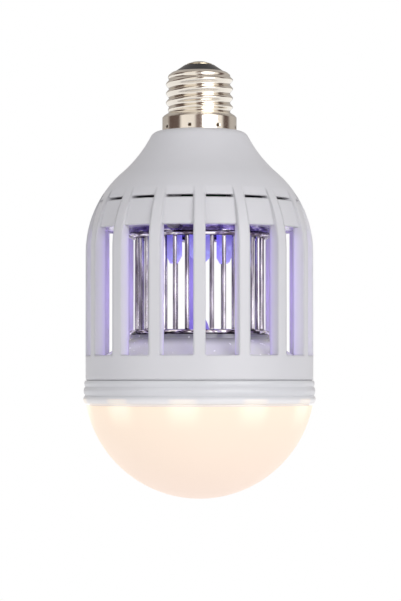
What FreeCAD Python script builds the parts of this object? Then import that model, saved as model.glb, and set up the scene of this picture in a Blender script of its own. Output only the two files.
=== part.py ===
import FreeCAD, Part
import math
import os
import re
import Sketcher

# Insect killer light bulb, hanging with its dome down. Millimetres, +Z up.
# The origin is on the axis, where the metal cap meets the white housing.

V = FreeCAD.Vector

# Driving sizes: name, value, what it is
SIZES = [
    ("crest_r", 13.1, "radius over the cap's thread"),
    ("thread_depth", 1.1, "crest to root of the rolled thread"),
    ("thread_pitch", 3.62, "rise of one turn of the thread"),
    ("thread_turns", 4, "turns of the thread"),
    ("shell_wall", 0.4, "sheet metal of the cap"),
    ("skirt_r", 14.5, "radius of the cap's skirt"),
    ("skirt_len", 5.6, "height of the cap's skirt"),
    ("skirt_slope", 2.0, "height of the cone from skirt to thread"),
    ("stake_r", 1.0, "punch that stakes the skirt to the housing"),
    ("stake_out", 0.75, "punch centre outside the skirt"),
    ("stake_up", 1.4, "height of the stake marks"),
    ("stake_count", 8, "stake marks round the skirt"),
    ("stake_turn", 30, "direction of the first stake mark, degrees"),
    ("lip_r", 9.8, "opening in the cap's top"),
    ("lip_rise", 1.3, "rise of the cap's top from thread to opening"),
    ("insulator_rise", 2.6, "black cone above the cap's top"),
    ("insulator_deep", 3.0, "insulator inside the cap, below the thread's end"),
    ("insulator_rim", 1.0, "insulator round the centre contact"),
    ("contact_r", 4.9, "centre contact"),
    ("contact_thick", 0.5, "rim of the centre contact"),
    ("contact_crown", 0.8, "crown of the centre contact"),
    ("shank_r", 1.2, "stem of the centre contact"),
    ("fit", 0.05, "clearance of pushed fits"),
    ("spigot_high", 5.0, "housing spigot inside the skirt"),
    ("spigot_wall", 1.7, "wall of the housing spigot"),
    ("collar_r", 15.4, "flat top of the housing round the skirt"),
    ("neck_r", 18.9, "housing below its rounded top"),
    ("neck_drop", 1.8, "depth of the rounded top"),
    ("neck_round", 4.2, "radius of the rounded top"),
    ("bend_in", 14.5, "where the neck's hollow turns into the shoulder, inside the cage's outside"),
    ("bend_drop", 15.9, "depth of that place"),
    ("neck_hollow", 50, "radius of the neck's hollow"),
    ("cage_r", 44.3, "outside of ribs and band"),
    ("shoulder_drop", 47, "depth where the shoulder has become upright"),
    ("shoulder_round", 41, "radius of the shoulder"),
    ("funnel_wall", 2.2, "wall of the neck and shoulder"),
    ("ribs", 16, "ribs of the cage"),
    ("rib_angle", 5.9, "width of a rib, degrees"),
    ("rib_deep", 4.7, "rib from outside to inside"),
    ("cut_over", 1.0, "cuts run this far past the wall"),
    ("window_top", 38.6, "depth of the windows' top"),
    ("window_high", 49.0, "height of the windows"),
    ("recess_top", 23.6, "depth where the recessed panels begin"),
    ("recess_in", 7.4, "start of the recessed panels, inside the cage's outside"),
    ("recess_deep", 2.35, "recessed panels inside the cage's outside, at the windows' top"),
    ("recess_round", 60, "radius of the recessed panels, top to bottom"),
    ("slit_drop", 27.8, "depth of the vent slits"),
    ("slit_high", 1.0, "height of the vent slits"),
    ("slit_margin", 0.6, "slit ends to ribs, degrees"),
    ("band_high", 9.3, "band below the windows"),
    ("sill_thick", 1.0, "lip that the floor is pressed against"),
    ("sill_deep", 1.2, "reach of that lip"),
    ("carrier_drop", 36.0, "depth of the upper carrier's top"),
    ("carrier_thick", 2.0, "upper carrier plate"),
    ("carrier_gap", 0.3, "clearance round the upper carrier"),
    ("ledge_deep", 1.9, "ledge that the upper carrier is screwed against"),
    ("boss_in", 9.1, "screw bosses from the inside of the ribs"),
    ("boss_r", 3.0, "screw boss"),
    ("boss_high", 13.0, "screw boss above the carrier"),
    ("screw_count", 3, "screws of the carrier, and of the light board"),
    ("screw_r", 1.2, "screw shank"),
    ("screw_head_r", 2.5, "screw head"),
    ("screw_head_high", 1.5, "screw head, flat to crown"),
    ("screw_flat_r", 1.5, "flat end of a screw head"),
    ("screw_rim", 0.6, "straight rim of a screw head"),
    ("screw_len", 8.0, "screw below its head"),
    ("screw_edge", 1.0, "screw heads from the light board's edge"),
    ("tab_turn", 33, "direction of the first tab, degrees"),
    ("tabs", 6, "hanging tabs round the column"),
    ("tab_at", 12.0, "outer face of the tabs from the axis"),
    ("tab_wide", 8.6, "width of a tab"),
    ("tab_thick", 1.2, "thickness of a tab"),
    ("tab_long", 13.4, "tab below the carrier"),
    ("tab_corner", 2.4, "cut corners of a tab"),
    ("clip_wide", 4.0, "clips that hold the driver board"),
    ("clip_wall", 1.4, "wall of a clip each side of the board"),
    ("clip_high", 8.0, "clip above the carrier"),
    ("rods", 16, "rods of one electrode"),
    ("grid_in", 15.2, "circle of the rods from the inside of the ribs"),
    ("rod_r", 0.8, "rods of the grid"),
    ("ring_wire_r", 0.95, "wire of the rings"),
    ("rod_bend", 1.3, "bend of a rod to its ring"),
    ("ring_up_out", 2.4, "upper ring outside the rods"),
    ("ring_low_out", 1.8, "lower ring outside the rods"),
    ("collar_wide", 5.2, "collar that holds the upper ends of the grid"),
    ("collar_thick", 2.0, "collar below the carrier plate"),
    ("socket_r", 0.9, "sockets for the free ends of the rods"),
    ("socket_deep", 1.2, "depth of those sockets"),
    ("floor_top", 79.5, "depth of the floor's raised middle"),
    ("floor_riser", 1.5, "step round the raised middle"),
    ("floor_wall", 2.0, "wall of the floor"),
    ("floor_flange", 1.6, "flange of the floor under the sill"),
    ("column_r", 3.3, "centre column"),
    ("column_bore", 2.6, "bore of the centre column"),
    ("column_side", 0.9, "column beside the bulb's axis"),
    ("column_foot_r", 4.8, "foot of the column"),
    ("lead_bore", 3.0, "hole for the leads in carrier and floor"),
    ("column_foot_high", 2.0, "straight part of the foot"),
    ("column_flare", 4.0, "flare above the foot"),
    ("flare_round", 9.6, "radius of that flare"),
    ("violet_board_r", 9.6, "board of the violet lights"),
    ("violet_board_thick", 1.2, "thickness of that board"),
    ("violet_at", 6.8, "circle of the violet lights"),
    ("violet_size", 2.8, "side of a violet light"),
    ("violet_high", 0.8, "height of a violet light"),
    ("ring_out", 0.15, "base ring beyond the cage, beside its ridges"),
    ("ridge_out_one", 0.35, "first ridge"),
    ("ridge_out_two", 0.6, "second ridge"),
    ("ridge_out_three", 0.75, "third ridge"),
    ("seam_high", 0.3, "groove between band and base ring"),
    ("seam_deep", 0.5, "depth of that groove"),
    ("ridge_one", 2.6, "height of the first ridge"),
    ("ridge_two", 3.5, "height of the second ridge"),
    ("ridge_three", 3.0, "height of the third ridge"),
    ("lip_low_in", 1.6, "narrow lip under the ridges, inside the cage's outside"),
    ("lip_low_high", 0.9, "height of that lip"),
    ("lip_low_wall", 1.5, "wall of that lip"),
    ("shelf_drop", 3.1, "shelf of the base ring below the band"),
    ("shelf_thick", 2.0, "shelf that the light board is screwed to"),
    ("shelf_deep", 9.0, "reach of that shelf"),
    ("plug_wall", 2.2, "plug of the base ring inside the band"),
    ("dome_out", 0.55, "dome's radius beyond the cage's"),
    ("dome_long", 36.15, "dome below the base ring"),
    ("dome_wall", 1.6, "wall of the dome"),
    ("dome_seat", 2.6, "sloped seat inside the dome's rim"),
    ("dome_plug_high", 3.4, "plug of the dome inside the base ring"),
    ("light_board_thick", 1.6, "board of the white lights"),
    ("light_board_gap", 0.6, "clearance round that board"),
    ("light_edge", 9.95, "outer circle of white lights, inside the board's edge"),
    ("light_outer_count", 10, "white lights on the outer circle"),
    ("light_inner_at", 15.0, "inner circle of white lights"),
    ("light_inner_count", 5, "white lights on the inner circle"),
    ("light_turn", 10, "direction of the first white light, degrees"),
    ("board_turn", 12, "direction of the light board's first screw, degrees"),
    ("light_size", 3.0, "side of a white light"),
    ("light_high", 0.8, "height of a white light"),
    ("board_wide", 20.5, "driver board width"),
    ("board_thick", 1.6, "driver board thickness"),
    ("board_top", 9.0, "driver board above the origin"),
    ("edge_keep", 1.0, "rectifier from the board's upper edge"),
    ("board_gap", 3.0, "driver board above the carrier"),
    ("cell_r", 5.0, "smoothing capacitor"),
    ("cell_long", 16.0, "smoothing capacitor length"),
    ("cell_round", 0.8, "rounded edge of that capacitor"),
    ("film_wide", 13.0, "grid capacitor width"),
    ("film_high", 11.0, "grid capacitor height"),
    ("film_deep", 6.0, "grid capacitor depth"),
    ("choke_r", 4.5, "drive choke"),
    ("choke_long", 8.0, "drive choke length"),
    ("choke_waist_r", 3.2, "winding of the choke"),
    ("choke_drop", 3.0, "choke below the housing's rounded top"),
    ("choke_rim", 1.4, "flanges of the choke"),
    ("bridge_wide", 6.5, "bridge rectifier side"),
    ("bridge_deep", 2.6, "bridge rectifier depth"),
    ("chip_wide", 4.0, "driver chip width"),
    ("chip_long", 5.0, "driver chip length"),
    ("chip_deep", 1.6, "driver chip depth"),
    ("resistor_r", 1.2, "grid resistors"),
    ("resistor_long", 6.4, "grid resistor length"),
    ("resistor_step", 4.0, "grid resistor spacing"),
    ("resistor_count", 3, "grid resistors"),
    ("lead_r", 0.6, "leads inside"),
    ("lead_bend", 1.5, "bends of the leads"),
    ("lead_side", 0.9, "leads in the column from its own axis"),
    ("lead_hole", 0.2, "clearance round a lead"),
    ("lead_edge", 3.0, "neutral lead from the board's side"),
    ("lead_lift", 0.5, "clearance below the upper grid lead"),
    ("up_lead_turn", 90, "direction of the upper grid lead, degrees"),
    ("up_lead_clear", 2.0, "that lead from the column's leads, on the board"),
    ("low_lead_out", 0.15, "lower grid lead at the lower ring, outside the rods' circle"),
    ("low_lead_turn", 95.6, "direction of the lower grid lead, degrees"),
    ("low_lead_up", 0.95, "end of that lead above the floor"),
    ("solder_high", 2.0, "lead lying on the board"),
]

# Sizes that follow from the driving ones
DERIVED = {
    "root_r": "crest_r - thread_depth",
    "bend_r": "cage_r - bend_in",
    "ring_r": "cage_r + ring_out",
    "lip_low_r": "cage_r - lip_low_in",
    "dome_r": "cage_r + dome_out",
    "boss_at": "cage_bore - boss_in",
    "recess_r": "cage_r - recess_in",
    "rod_at": "cage_bore - grid_in",
    "ring_up_at": "rod_at + ring_up_out",
    "ring_low_at": "rod_at + ring_low_out",
    "floor_mid_r": "ring_low_at + ring_wire_r + fit",
    "up_lead_at": "ring_up_at - lead_r",
    "low_lead_at": "rod_at + low_lead_out",
    "light_outer_at": "light_board_r - light_edge",
    "thread_round": "(thread_pitch ^ 2 / 4 + thread_depth ^ 2) / (4 * thread_depth)",
    "thread_start": "skirt_len + skirt_slope",
    "thread_end": "skirt_len + skirt_slope + thread_pitch * thread_turns",
    "cap_top": "thread_end + lip_rise",
    "insulator_top": "cap_top + insulator_rise",
    "insulator_low": "thread_end - insulator_deep",
    "shell_bore": "root_r - shell_wall",
    "spigot_r": "skirt_r - shell_wall - fit",
    "neck_bore": "spigot_r - spigot_wall",
    "cage_bore": "cage_r - rib_deep",
    "window_low": "window_top + window_high",
    "band_low": "window_low + band_high",
    "sill_low": "window_low + sill_thick",
    "sill_r": "cage_bore - sill_deep",
    "carrier_low": "carrier_drop + carrier_thick",
    "carrier_r": "cage_bore - carrier_gap",
    "collar_low": "carrier_low + collar_thick",
    "ring_up_z": "-(collar_low + ring_wire_r)",
    "ring_low_z": "-(floor_top - ring_wire_r)",
    "shelf_low": "band_low + shelf_drop",
    "ring_low": "band_low + ridge_one + ridge_two + ridge_three",
    "dome_top": "ring_low + lip_low_high",
    "dome_low": "dome_top + dome_long",
    "dome_centre": "dome_low - dome_r",
    "dome_rim_r": "sqrt(dome_r ^ 2 - (dome_top - dome_centre) ^ 2)",
    "dome_plug_r": "lip_low_r - lip_low_wall - fit",
    "light_board_r": "dome_plug_r - dome_wall - light_board_gap",
    "light_low": "shelf_low + light_board_thick",
    "board_low": "carrier_drop - board_gap",
    "screw_out": "light_board_r - screw_head_r - screw_edge",
    "half_pitch": "180 / ribs",
    "violet_low": "carrier_low + violet_board_thick",
}

doc = FreeCAD.newDocument("InsectKillerBulb")
sheet = doc.addObject("Spreadsheet::Sheet", "Sizes")
for row, (name, value, note) in enumerate(SIZES, 1):
    sheet.set(f"A{row}", name)
    sheet.set(f"B{row}", str(value))
    sheet.set(f"C{row}", note)
    sheet.setAlias(f"B{row}", name)
doc.recompute()
NAMES = {name for name, value, note in SIZES}


def bound(text):
    """The formula with its sizes read from the sheet."""
    def one(match):
        word = match.group(0)
        if word in DERIVED:
            return "(" + bound(DERIVED[word]) + ")"
        return "Sizes." + word if word in NAMES else word
    return re.sub(r"[A-Za-z_]\w*", one, str(text))


def size(text):
    """The number that a formula gives now."""
    return float(sheet.evalExpression(bound(text)))


def bind(thing, path, text):
    thing.setExpression(path, bound(text))


def new_body(name):
    body = doc.addObject("PartDesign::Body", name)
    body.Label = name
    body.AllowCompound = True
    return body


def plane(body, role):
    return [f for f in body.Origin.OriginFeatures if f.Role == role][0]


def new_sketch(body, name, role, lift=None):
    """A sketch on one of the body's own planes, lifted along the plane's normal."""
    sketch = body.newObject("Sketcher::SketchObject", name)
    sketch.AttachmentSupport = [(plane(body, role), "")]
    sketch.MapMode = "FlatFace"
    if lift is not None:
        bind(sketch, "AttachmentOffset.Base.z", lift)
    return sketch


def fix_point(sketch, geo, end, across, up):
    """Ties one point of the sketch to two formulas."""
    for kind, text, axis in (("DistanceX", across, -2), ("DistanceY", up, -1)):
        now = size(text)
        if abs(now) < 1e-9:
            sketch.addConstraint(Sketcher.Constraint("PointOnObject", geo, end, axis))
            continue
        index = sketch.addConstraint(Sketcher.Constraint(kind, -1, 1, geo, end, now))
        bind(sketch, f"Constraints[{index}]", text)


def arc_between(start, end, radius, side):
    """An arc with its centre on the left (side 1) or right (side -1) of start to end."""
    chord = end - start
    half = chord.Length / 2
    normal = V(-chord.y, chord.x, 0).normalize()
    centre = (start + end) * 0.5 + normal * side * math.sqrt(max(radius ** 2 - half ** 2, 0))
    angles = [math.atan2(p.y - centre.y, p.x - centre.x) for p in (start, end)]
    if side < 0:
        angles.reverse()
    return Part.ArcOfCircle(Part.Circle(centre, V(0, 0, 1), radius), *angles)


def outline(sketch, steps, closed=True):
    """Draws lines and arcs through points. A step is (across, up) for a line to the next
    point, or (across, up, radius, side) for an arc to it."""
    points = [V(size(step[0]), size(step[1]), 0) for step in steps]
    spans = len(steps) if closed else len(steps) - 1
    first = sketch.GeometryCount
    ends = []
    for i in range(spans):
        start = points[i]
        end = points[(i + 1) % len(points)]
        if len(steps[i]) == 2:
            sketch.addGeometry(Part.LineSegment(start, end))
            ends.append((1, 2))
            continue
        radius, side = steps[i][2:]
        geo = sketch.addGeometry(arc_between(start, end, size(radius), side))
        ends.append((1, 2) if side > 0 else (2, 1))
        index = sketch.addConstraint(Sketcher.Constraint("Radius", geo, size(radius)))
        bind(sketch, f"Constraints[{index}]", radius)
    for i in range(spans):
        fix_point(sketch, first + i, ends[i][0], steps[i][0], steps[i][1])
        if i + 1 < spans or closed:
            after = (i + 1) % spans
            sketch.addConstraint(Sketcher.Constraint(
                "Coincident", first + i, ends[i][1], first + after, ends[after][0]))
    if not closed:
        fix_point(sketch, first + spans - 1, ends[-1][1], steps[-1][0], steps[-1][1])


def circle(sketch, across, up, radius):
    centre = V(size(across), size(up), 0)
    geo = sketch.addGeometry(Part.Circle(centre, V(0, 0, 1), size(radius)))
    index = sketch.addConstraint(Sketcher.Constraint("Radius", geo, size(radius)))
    bind(sketch, f"Constraints[{index}]", radius)
    fix_point(sketch, geo, 3, across, up)


def box_steps(low_a, high_a, low_b, high_b):
    return [(low_a, low_b), (high_a, low_b), (high_a, high_b), (low_a, high_b)]


def turned(body, kind, name, steps, angle=None):
    """A solid or cut turned about Z from an outline of radius and height."""
    sketch = new_sketch(body, name + "_outline", "XZ_Plane")
    outline(sketch, steps)
    feature = body.newObject(f"PartDesign::{kind}", name)
    feature.Profile = sketch
    feature.ReferenceAxis = (sketch, ["V_Axis"])
    feature.Angle = 360
    if angle is not None:
        feature.Midplane = True
        bind(feature, "Angle", angle)
    return feature


def pushed(body, kind, name, sketch, length, reverse=False, middle=False):
    """A Pad or Pocket of a sketch."""
    feature = body.newObject(f"PartDesign::{kind}", name)
    feature.Profile = sketch
    bind(feature, "Length", length)
    feature.Reversed = reverse
    if middle:
        feature.SideType = "Symmetric"
    return feature


def patterned(body, name, features, count):
    """Copies of features round the Z axis."""
    pattern = body.newObject("PartDesign::PolarPattern", name)
    pattern.Originals = features
    pattern.Axis = z_axis(body)
    pattern.Angle = 360
    bind(pattern, "Occurrences", count)
    body.Tip = pattern
    return pattern


def z_axis(body):
    return ([f for f in body.Origin.OriginFeatures if f.Role == "Z_Axis"][0], [""])


def turn_body(body, angle):
    body.Placement = FreeCAD.Placement(V(0, 0, 0), FreeCAD.Rotation(V(0, 0, 1), size(angle)))
    bind(body, "Placement.Rotation.Angle", angle)


def screw_shell():
    """Rolled sheet cap: skirt, cone, thread rings at the thread's pitch and coned top."""
    body = new_body("screw_shell")
    steps = [("skirt_r - shell_wall", "0"), ("skirt_r", "0"), ("skirt_r", "skirt_len")]
    steps.append(("root_r", "thread_start", "thread_round", -1))
    for turn in range(int(size("thread_turns"))):
        low = f"thread_start + thread_pitch * {turn}"
        middle = "(root_r + crest_r) / 2"
        steps.append((middle, f"{low} + thread_pitch / 4", "thread_round", 1))
        steps.append((middle, f"{low} + thread_pitch * 3 / 4", "thread_round", -1))
        if turn + 1 < size("thread_turns"):
            steps.append(("root_r", f"{low} + thread_pitch", "thread_round", -1))
    steps += [("root_r", "thread_end"), ("lip_r", "cap_top"), ("lip_r", "cap_top - shell_wall"),
              ("shell_bore", "thread_end - shell_wall"), ("shell_bore", "thread_start"),
              ("skirt_r - shell_wall", "skirt_len")]
    turned(body, "Revolution", "shell", steps)
    stake = body.newObject("PartDesign::SubtractiveSphere", "stake")
    bind(stake, "Radius", "stake_r")
    bind(stake, "Placement.Base.x", "skirt_r + stake_out")
    bind(stake, "Placement.Base.z", "stake_up")
    patterned(body, "stakes", [stake], "stake_count")
    turn_body(body, "stake_turn")
    return body


def cap_insulator():
    body = new_body("cap_insulator")
    turned(body, "Revolution", "insulator", [
        ("shank_r + fit", "insulator_low"), ("shell_bore - fit", "insulator_low"),
        ("shell_bore - fit", "thread_end - shell_wall - fit"),
        ("lip_r - fit", "cap_top - shell_wall - fit"),
        ("lip_r - fit", "cap_top"), ("contact_r + insulator_rim", "insulator_top"),
        ("shank_r + fit", "insulator_top")])
    return body


def centre_contact():
    body = new_body("centre_contact")
    turned(body, "Revolution", "contact", [
        ("0", "insulator_low"), ("shank_r", "insulator_low"), ("shank_r", "insulator_top"),
        ("contact_r", "insulator_top"), ("contact_r", "insulator_top + contact_thick"),
        ("contact_r / 2", "insulator_top + contact_thick + contact_crown"),
        ("0", "insulator_top + contact_thick + contact_crown")])
    return body


def cage_housing():
    """One moulding: spigot, neck, shoulder, sixteen ribs with windows, and band."""
    body = new_body("cage_housing")
    turned(body, "Revolution", "wall", [
        ("neck_bore", "spigot_high"), ("spigot_r", "spigot_high"), ("spigot_r", "0"),
        ("collar_r", "0", "neck_round", -1), ("neck_r", "-neck_drop", "neck_hollow", 1),
        ("bend_r", "-bend_drop", "shoulder_round", -1), ("cage_r", "-shoulder_drop"),
        ("cage_r", "-band_low"), ("cage_bore", "-band_low"), ("cage_bore", "-sill_low"),
        ("sill_r", "-sill_low"), ("sill_r", "-window_low"), ("cage_bore", "-window_low"),
        ("cage_bore", "-carrier_drop"),
        ("cage_bore - ledge_deep", "-carrier_drop", "shoulder_round - funnel_wall", 1),
        ("bend_r - funnel_wall", "-(bend_drop + funnel_wall / 2)", "neck_hollow + funnel_wall", -1),
        ("neck_r - funnel_wall", "-(neck_drop + funnel_wall)"),
        ("neck_bore", "-(neck_drop + funnel_wall)")])
    gap = "360 / ribs - rib_angle"
    window = turned(body, "Groove", "window", box_steps(
        "sill_r - cut_over", "cage_r + cut_over", "-window_low", "-window_top"), gap)
    recess = turned(body, "Groove", "recess", [
        ("recess_r", "-recess_top", "recess_round", -1), ("cage_r - recess_deep", "-window_top"),
        ("cage_r + cut_over", "-window_top"), ("cage_r + cut_over", "-recess_top")], gap)
    slit = turned(body, "Groove", "slit",
                  box_steps("bend_r - funnel_wall", "cage_r", "-(slit_drop + slit_high / 2)",
                            "-(slit_drop - slit_high / 2)"), f"{gap} - 2 * slit_margin")
    patterned(body, "windows", [window, recess, slit], "ribs")
    boss_sketch = new_sketch(body, "boss_outline", "XY_Plane", "-carrier_drop")
    circle(boss_sketch, "boss_at", "0", "boss_r")
    boss = pushed(body, "Pad", "boss", boss_sketch, "boss_high")
    bore_sketch = new_sketch(body, "boss_bore_outline", "XY_Plane", "-carrier_drop")
    circle(bore_sketch, "boss_at", "0", "screw_r")
    bore = pushed(body, "Pocket", "boss_bore", bore_sketch, "screw_len", reverse=True)
    patterned(body, "bosses", [boss, bore], "screw_count")
    turn_body(body, "half_pitch")
    return body


def upper_carrier():
    """Plate under the shoulder: grid collar, six tabs, clips for the driver board."""
    body = new_body("upper_carrier")
    bore = "lead_bore"
    collar_in = "rod_at - collar_wide / 2"
    collar_out = "ring_up_at + ring_wire_r"
    turned(body, "Revolution", "plate", [
        (bore, "-carrier_drop"), (bore, "-carrier_low"), (collar_in, "-carrier_low"),
        (collar_in, "-collar_low"), (collar_out, "-collar_low"), (collar_out, "-carrier_low"),
        ("carrier_r", "-carrier_low"), ("carrier_r", "-carrier_drop")])
    tab_sketch = new_sketch(body, "tab_outline", "YZ_Plane", "tab_at - tab_thick")
    half = "tab_wide / 2"
    end = "-(carrier_low + tab_long)"
    outline(tab_sketch, [
        (f"-{half}", "-carrier_low"), (f"-{half}", f"{end} + tab_corner"),
        (f"-{half} + tab_corner", end), (f"{half} - tab_corner", end),
        (half, f"{end} + tab_corner"), (half, "-carrier_low")])
    tab = pushed(body, "Pad", "tab", tab_sketch, "tab_thick")
    patterned(body, "all_tabs", [tab], "tabs")
    socket_sketch = new_sketch(body, "socket_outline", "XY_Plane", "-collar_low")
    turn = "(half_pitch - tab_turn)"
    circle(socket_sketch, f"rod_at * cos{turn}", f"rod_at * sin{turn}", "socket_r")
    socket = pushed(body, "Pocket", "socket", socket_sketch, "socket_deep", reverse=True)
    patterned(body, "sockets", [socket], "rods")
    hole_sketch = new_sketch(body, "screw_hole_outline", "XY_Plane", "-carrier_low")
    turn = "(half_pitch - tab_turn)"
    circle(hole_sketch, f"boss_at * cos{turn}", f"boss_at * sin{turn}", "screw_r + fit")
    hole = pushed(body, "Pocket", "screw_hole", hole_sketch, "carrier_thick", reverse=True)
    patterned(body, "screw_holes", [hole], "screw_count")
    lead_sketch = new_sketch(body, "lead_hole_outline", "XY_Plane", "-collar_low")
    turn = "(up_lead_turn - tab_turn)"
    circle(lead_sketch, f"up_lead_at * cos{turn}", f"up_lead_at * sin{turn}", "lead_r + lead_hole")
    pushed(body, "Pocket", "lead_hole", lead_sketch, "collar_thick + carrier_thick", reverse=True)
    clip_sketch = new_sketch(body, "clip_outline", "XY_Plane", "-carrier_drop")
    for side in (1, -1):
        place_clip(clip_sketch, side)
    pushed(body, "Pad", "clips", clip_sketch, "clip_high")
    turn_body(body, "tab_turn")
    return body


def place_clip(sketch, side):
    """Outline of one clip: two walls beside the board, joined round its edge."""
    inner = "board_wide / 2 - clip_wide"
    outer = "board_wide / 2 + clip_wall"
    edge = "board_wide / 2 + fit"
    face = "board_thick / 2 + fit"
    back = "board_thick / 2 + fit + clip_wall"
    corners = [(inner, face), (edge, face), (edge, f"-({face})"), (inner, f"-({face})"),
               (inner, f"-({back})"), (outer, f"-({back})"), (outer, back), (inner, back)]
    cos, sin = "cos(0 - tab_turn)", "sin(0 - tab_turn)"
    outline(sketch, [(f"{side} * (({a}) * {cos} - ({b}) * {sin})",
                      f"{side} * (({a}) * {sin} + ({b}) * {cos})") for a, b in corners])


def electrode(name, ring_at, ring_z, bend_up, free_end, turn):
    """A ring of wire with rods that bend to it at one end."""
    body = new_body(name)
    ring_sketch = new_sketch(body, "ring_section", "XZ_Plane")
    circle(ring_sketch, ring_at, ring_z, "ring_wire_r")
    ring = body.newObject("PartDesign::Revolution", "ring")
    ring.Profile = ring_sketch
    ring.ReferenceAxis = (ring_sketch, ["V_Axis"])
    ring.Angle = 360
    bend_z = f"{ring_z} {'-' if bend_up else '+'} rod_bend"
    path = new_sketch(body, "rod_path", "XZ_Plane")
    outline(path, [("rod_at", free_end), ("rod_at", bend_z, "rod_bend", -1 if bend_up else 1),
                   ("rod_at + rod_bend", ring_z), (ring_at, ring_z)], closed=False)
    section = new_sketch(body, "rod_section", "XY_Plane", free_end)
    circle(section, "rod_at", "0", "rod_r")
    rod = body.newObject("PartDesign::AdditivePipe", "rod")
    rod.Profile = section
    rod.Spine = (path, [])
    patterned(body, "all_rods", [rod], "rods")
    turn_body(body, turn)
    return body


def centre_column():
    body = new_body("centre_column")
    foot = "-(floor_top - column_foot_high)"
    turned(body, "Revolution", "column", [
        ("column_bore", "-carrier_low"), ("column_r", "-carrier_low"),
        ("column_r", f"{foot} + column_flare", "flare_round", -1),
        ("column_foot_r", foot), ("column_foot_r", "-floor_top"), ("column_bore", "-floor_top")])
    bind(body, "Placement.Base.x", "-column_side")
    return body


def floor_cone():
    """Lower carrier: raised middle for the grid, cone out to the sill, flange below it."""
    body = new_body("floor_cone")
    cone_top = "-(floor_top + floor_riser)"
    turned(body, "Revolution", "floor", [
        ("lead_bore", "-floor_top"), ("floor_mid_r", "-floor_top"), ("floor_mid_r", cone_top),
        ("sill_r - fit", "-sill_low"), ("cage_bore - fit", "-sill_low"),
        ("cage_bore - fit", "-(sill_low + floor_flange)"),
        ("sill_r - floor_wall", "-(sill_low + floor_flange)"),
        ("floor_mid_r - floor_wall", f"{cone_top} - floor_wall"),
        ("floor_mid_r - floor_wall", "-(floor_top + floor_wall)"),
        ("lead_bore", "-(floor_top + floor_wall)")])
    socket_sketch = new_sketch(body, "socket_outline", "XY_Plane", "-floor_top")
    circle(socket_sketch, "rod_at", "0", "socket_r")
    socket = pushed(body, "Pocket", "socket", socket_sketch, "socket_deep")
    patterned(body, "sockets", [socket], "rods")
    lead_sketch = new_sketch(body, "lead_hole_outline", "XY_Plane", "-floor_top")
    circle(lead_sketch, "low_lead_at * cos(low_lead_turn)", "low_lead_at * sin(low_lead_turn)",
           "lead_r + lead_hole")
    pushed(body, "Pocket", "lead_hole", lead_sketch, "floor_wall")
    return body


def base_ring():
    """Ring with three rounded ridges, a plug inside the band and a shelf for the board."""
    body = new_body("base_ring")
    step_one = "band_low + ridge_one"
    step_two = "band_low + ridge_one + ridge_two"

    def ridge(high, out):
        return f"(({high}) ^ 2 / 4 + ({out}) ^ 2) / (2 * ({out}))"
    plug_r = "cage_bore - fit"
    turned(body, "Revolution", "ring", [
        (f"{plug_r} - plug_wall", "-(sill_low + floor_flange)"),
        (plug_r, "-(sill_low + floor_flange)"),
        (plug_r, "-band_low"), ("cage_r - seam_deep", "-band_low"),
        ("cage_r - seam_deep", "-(band_low + seam_high)"),
        ("ring_r", "-(band_low + seam_high)", ridge("ridge_one - seam_high", "ridge_out_one"), -1),
        ("ring_r", f"-({step_one})", ridge("ridge_two", "ridge_out_two"), -1),
        ("ring_r", f"-({step_two})", ridge("ridge_three", "ridge_out_three"), -1),
        ("ring_r", "-ring_low"), ("lip_low_r", "-ring_low"), ("lip_low_r", "-dome_top"),
        ("lip_low_r - lip_low_wall", "-dome_top"), ("lip_low_r - lip_low_wall", "-shelf_low"),
        (f"{plug_r} - shelf_deep", "-shelf_low"),
        (f"{plug_r} - shelf_deep", "-(shelf_low - shelf_thick)"),
        (f"{plug_r} - plug_wall", "-(shelf_low - shelf_thick)")])
    boss_sketch = new_sketch(body, "boss_outline", "XY_Plane", "-shelf_low")
    circle(boss_sketch, "screw_out", "0", "boss_r")
    boss = pushed(body, "Pad", "boss", boss_sketch, "screw_len")
    bore_sketch = new_sketch(body, "boss_bore_outline", "XY_Plane", "-shelf_low")
    circle(bore_sketch, "screw_out", "0", "screw_r")
    bore = pushed(body, "Pocket", "boss_bore", bore_sketch, "screw_len - light_board_thick", reverse=True)
    patterned(body, "bosses", [boss, bore], "screw_count")
    turn_body(body, "board_turn")
    return body


def diffuser_dome():
    body = new_body("diffuser_dome")
    inner_r = "(dome_r - dome_wall)"
    plug_bore = "dome_plug_r - dome_wall"
    seat_r = "dome_rim_r - dome_seat"
    seat_z = f"-(dome_centre + sqrt({inner_r} ^ 2 - ({seat_r}) ^ 2))"
    turned(body, "Revolution", "dome", [
        (plug_bore, "-(dome_top - dome_plug_high)"), ("dome_plug_r", "-(dome_top - dome_plug_high)"),
        ("dome_plug_r", "-dome_top"), ("dome_rim_r", "-dome_top", "dome_r", -1), ("0", "-dome_low"),
        ("0", "-(dome_low - dome_wall)", inner_r, 1), (seat_r, seat_z),
        (plug_bore, "-(dome_top + dome_wall)")])
    return body


def light_board():
    body = new_body("light_board")
    turned(body, "Revolution", "board", box_steps("0", "light_board_r", "-light_low", "-shelf_low"))
    hole_sketch = new_sketch(body, "screw_hole_outline", "XY_Plane", "-light_low")
    circle(hole_sketch, "screw_out", "0", "screw_r + fit")
    hole = pushed(body, "Pocket", "screw_hole", hole_sketch, "light_board_thick", reverse=True)
    patterned(body, "screw_holes", [hole], "screw_count")
    turn_body(body, "board_turn")
    return body


def lights(name, rings, side, high, top, turn):
    """Square lights under a board, on circles: rings holds (circle, count)."""
    body = new_body(name)
    for number, (at, count) in enumerate(rings):
        sketch = new_sketch(body, f"light_outline_{number}", "XY_Plane", f"-({top})")
        outline(sketch, box_steps(
            f"{at} - {side} / 2", f"{at} + {side} / 2", f"-{side} / 2", f"{side} / 2"))
        light = pushed(body, "Pad", f"light_{number}", sketch, high, reverse=True)
        patterned(body, f"circle_{number}", [light], count)
    turn_body(body, turn)
    return body


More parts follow.
